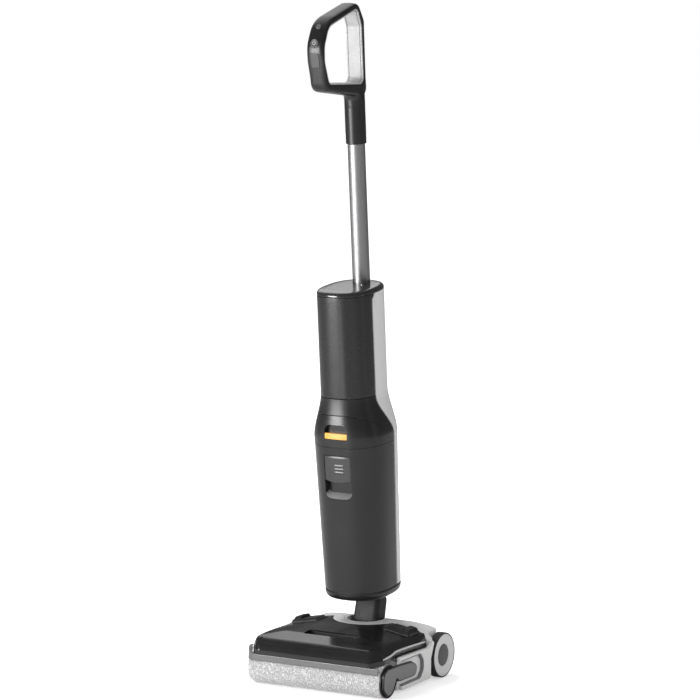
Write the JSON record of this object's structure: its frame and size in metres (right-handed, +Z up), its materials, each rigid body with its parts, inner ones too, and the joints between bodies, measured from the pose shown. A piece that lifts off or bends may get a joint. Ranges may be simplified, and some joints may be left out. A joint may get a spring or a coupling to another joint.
{
  "type": "wet dry floor scrubber",
  "caption": "Upright wet and dry floor scrubber with a driven plush roller, two water tanks, a leaning and turning neck, and a loop handle.",
  "frame": {"origin": "on the floor under the middle of the head's outline, halfway between the two sides", "axes": "+Z is up, -Y is the front with the roller, X runs along the roller with the pull lever at +X"},
  "size_m": [0.266, 0.2445, 1.1143],
  "materials": {
    "white_shell": "satin",
    "charcoal_shell": "satin",
    "black_plastic": "satin",
    "grey_plastic": "satin",
    "light_grey_plastic": "satin",
    "gloss_black": "gloss",
    "smoked_clear": "gloss",
    "clear_strip": "gloss",
    "milky_clear": "satin",
    "amber_plastic": "satin",
    "rubber": "matte",
    "tyre": "matte",
    "plush": "plush",
    "pole_metal": "satin anodised",
    "steel": "brushed",
    "brass_contact": "satin",
    "board": "satin",
    "cell_wrap": "satin"
  },
  "bodies": {
    "head": {"chassis": "white_shell", "base_plate": "black_plastic", "rear_housing": "white_shell", "side_panel_left": "white_shell", "side_panel_right": "white_shell", "neck_ring": "white_shell", "hinge_pins": "steel", "suction_duct": "grey_plastic", "scraper_comb": "black_plastic", "squeegee": "rubber", "spray_bar": "light_grey_plastic", "brush_motor": "steel", "wheel_axles": "steel", "charge_contacts": "brass_contact"},
    "drive_hub": {"drive_hub": "grey_plastic"},
    "roller": {"roller_core": "grey_plastic", "roller_plush": "plush"},
    "roller_cap": {"roller_cap": "black_plastic", "roller_lever": "grey_plastic"},
    "head_cover": {"head_cover": "gloss_black", "splash_strip": "clear_strip"},
    "cover_button_left": {"cover_button_left": "charcoal_shell"},
    "cover_button_right": {"cover_button_right": "charcoal_shell"},
    "wheel_left": {"tyre_left": "tyre", "rim_left": "light_grey_plastic"},
    "wheel_right": {"tyre_right": "tyre", "rim_right": "light_grey_plastic"},
    "under_roller_left": {"under_roller_left": "rubber"},
    "under_roller_right": {"under_roller_right": "rubber"},
    "neck": {"neck_column": "charcoal_shell", "neck_hose": "rubber"},
    "upright": {"base_cap": "charcoal_shell", "spine": "black_plastic", "rear_shell": "white_shell", "collar": "charcoal_shell", "upper_tube": "charcoal_shell", "top_cap": "gloss_black", "pole_socket": "black_plastic", "suction_motor": "steel", "battery_pack": "cell_wrap", "main_board": "board", "water_pump": "black_plastic"},
    "fan": {"fan": "black_plastic"},
    "dirty_tank": {"dirty_tank": "smoked_clear", "standpipe": "grey_plastic", "tank_lid": "charcoal_shell", "tank_filter": "light_grey_plastic"},
    "tank_float": {"tank_float": "light_grey_plastic"},
    "tank_release": {"tank_release": "grey_plastic"},
    "lid_catch": {"lid_catch": "amber_plastic"},
    "clean_tank": {"clean_tank": "milky_clear", "clean_tank_cap": "grey_plastic"},
    "pole_lock": {"pole_lock": "steel"},
    "handle": {"pole": "pole_metal", "handle_shell": "black_plastic", "handle_lining": "light_grey_plastic", "handle_board": "board", "status_strip": "gloss_black"},
    "power_button": {"power_button": "grey_plastic"},
    "mode_button": {"mode_button": "grey_plastic"}
  },
  "joints": [
    {"name": "roller_draw_out", "type": "slide", "parent": "head", "child": "roller_cap", "axis": [1, 0, 0], "range_m": [0, 0.26]},
    {"name": "roller_spin", "type": "hinge", "parent": "roller_cap", "child": "roller", "pos_m": [0, -0.088, 0.028], "axis": [1, 0, 0], "continuous": true},
    {"name": "drive_spin", "type": "hinge", "parent": "head", "child": "drive_hub", "pos_m": [0, -0.088, 0.028], "axis": [1, 0, 0], "continuous": true},
    {"name": "cover_lift", "type": "slide", "parent": "head", "child": "head_cover", "axis": [0, 0, 1], "range_m": [0, 0.035]},
    {"name": "cover_button_left_press", "type": "slide", "parent": "head_cover", "child": "cover_button_left", "axis": [0, 0, -1], "range_m": [0, 0.003], "stiffness_N_per_m": 900, "springref_m": -0.001},
    {"name": "cover_button_right_press", "type": "slide", "parent": "head_cover", "child": "cover_button_right", "axis": [0, 0, -1], "range_m": [0, 0.003], "stiffness_N_per_m": 900, "springref_m": -0.001},
    {"name": "wheel_left_spin", "type": "hinge", "parent": "head", "child": "wheel_left", "pos_m": [-0.1255, 0.089, 0.0375], "axis": [1, 0, 0], "continuous": true},
    {"name": "wheel_right_spin", "type": "hinge", "parent": "head", "child": "wheel_right", "pos_m": [0.1255, 0.089, 0.0375], "axis": [1, 0, 0], "continuous": true},
    {"name": "under_roller_left_spin", "type": "hinge", "parent": "head", "child": "under_roller_left", "pos_m": [-0.096, -0.046, 0.0056], "axis": [1, 0, 0], "continuous": true},
    {"name": "under_roller_right_spin", "type": "hinge", "parent": "head", "child": "under_roller_right", "pos_m": [0.096, -0.046, 0.0056], "axis": [1, 0, 0], "continuous": true},
    {"name": "neck_recline", "type": "hinge", "parent": "head", "child": "neck", "pos_m": [0, 0.06, 0.05], "axis": [-1, 0, 0], "range_deg": [0, 65]},
    {"name": "neck_turn", "type": "hinge", "parent": "neck", "child": "upright", "pos_m": [0, 0.06, 0.05], "axis": [0, 0.2689, 0.9632], "range_deg": [-45, 45]},
    {"name": "fan_spin", "type": "hinge", "parent": "upright", "child": "fan", "pos_m": [0, -0.0001, 0.54435], "axis": [0, -0.0767, 0.9971], "continuous": true},
    {"name": "dirty_tank_draw_out", "type": "slide", "parent": "upright", "child": "dirty_tank", "axis": [0, -0.9971, -0.0767], "range_m": [0, 0.12]},
    {"name": "float_rise", "type": "slide", "parent": "dirty_tank", "child": "tank_float", "axis": [0, -0.0767, 0.9971], "range_m": [0, 0.06]},
    {"name": "tank_release_press", "type": "slide", "parent": "dirty_tank", "child": "tank_release", "axis": [0, 0.9971, 0.0767], "range_m": [0, 0.003], "stiffness_N_per_m": 800, "springref_m": -0.001},
    {"name": "lid_catch_lift", "type": "slide", "parent": "dirty_tank", "child": "lid_catch", "axis": [0, -0.0767, 0.9971], "range_m": [0, 0.006], "stiffness_N_per_m": 400, "springref_m": -0.001},
    {"name": "clean_tank_draw_out", "type": "slide", "parent": "upright", "child": "clean_tank", "axis": [0, 0.9971, 0.0767], "range_m": [0, 0.12]},
    {"name": "pole_lock_press", "type": "slide", "parent": "upright", "child": "pole_lock", "axis": [0, 0.0767, -0.9971], "range_m": [0, 0.0018], "stiffness_N_per_m": 800, "springref_m": -0.001},
    {"name": "pole_draw_out", "type": "slide", "parent": "upright", "child": "handle", "axis": [0, -0.0767, 0.9971], "range_m": [0, 0.1]},
    {"name": "power_button_press", "type": "slide", "parent": "handle", "child": "power_button", "axis": [0, 0.9632, -0.2689], "range_m": [0, 0.0012], "stiffness_N_per_m": 800, "springref_m": -0.001},
    {"name": "mode_button_press", "type": "slide", "parent": "handle", "child": "mode_button", "axis": [0, 0.7705, -0.6374], "range_m": [0, 0.0012], "stiffness_N_per_m": 800, "springref_m": -0.001}
  ],
  "couplings": [
    {"joint": "drive_spin", "follows": "roller_spin", "ratio": 1}
  ]
}
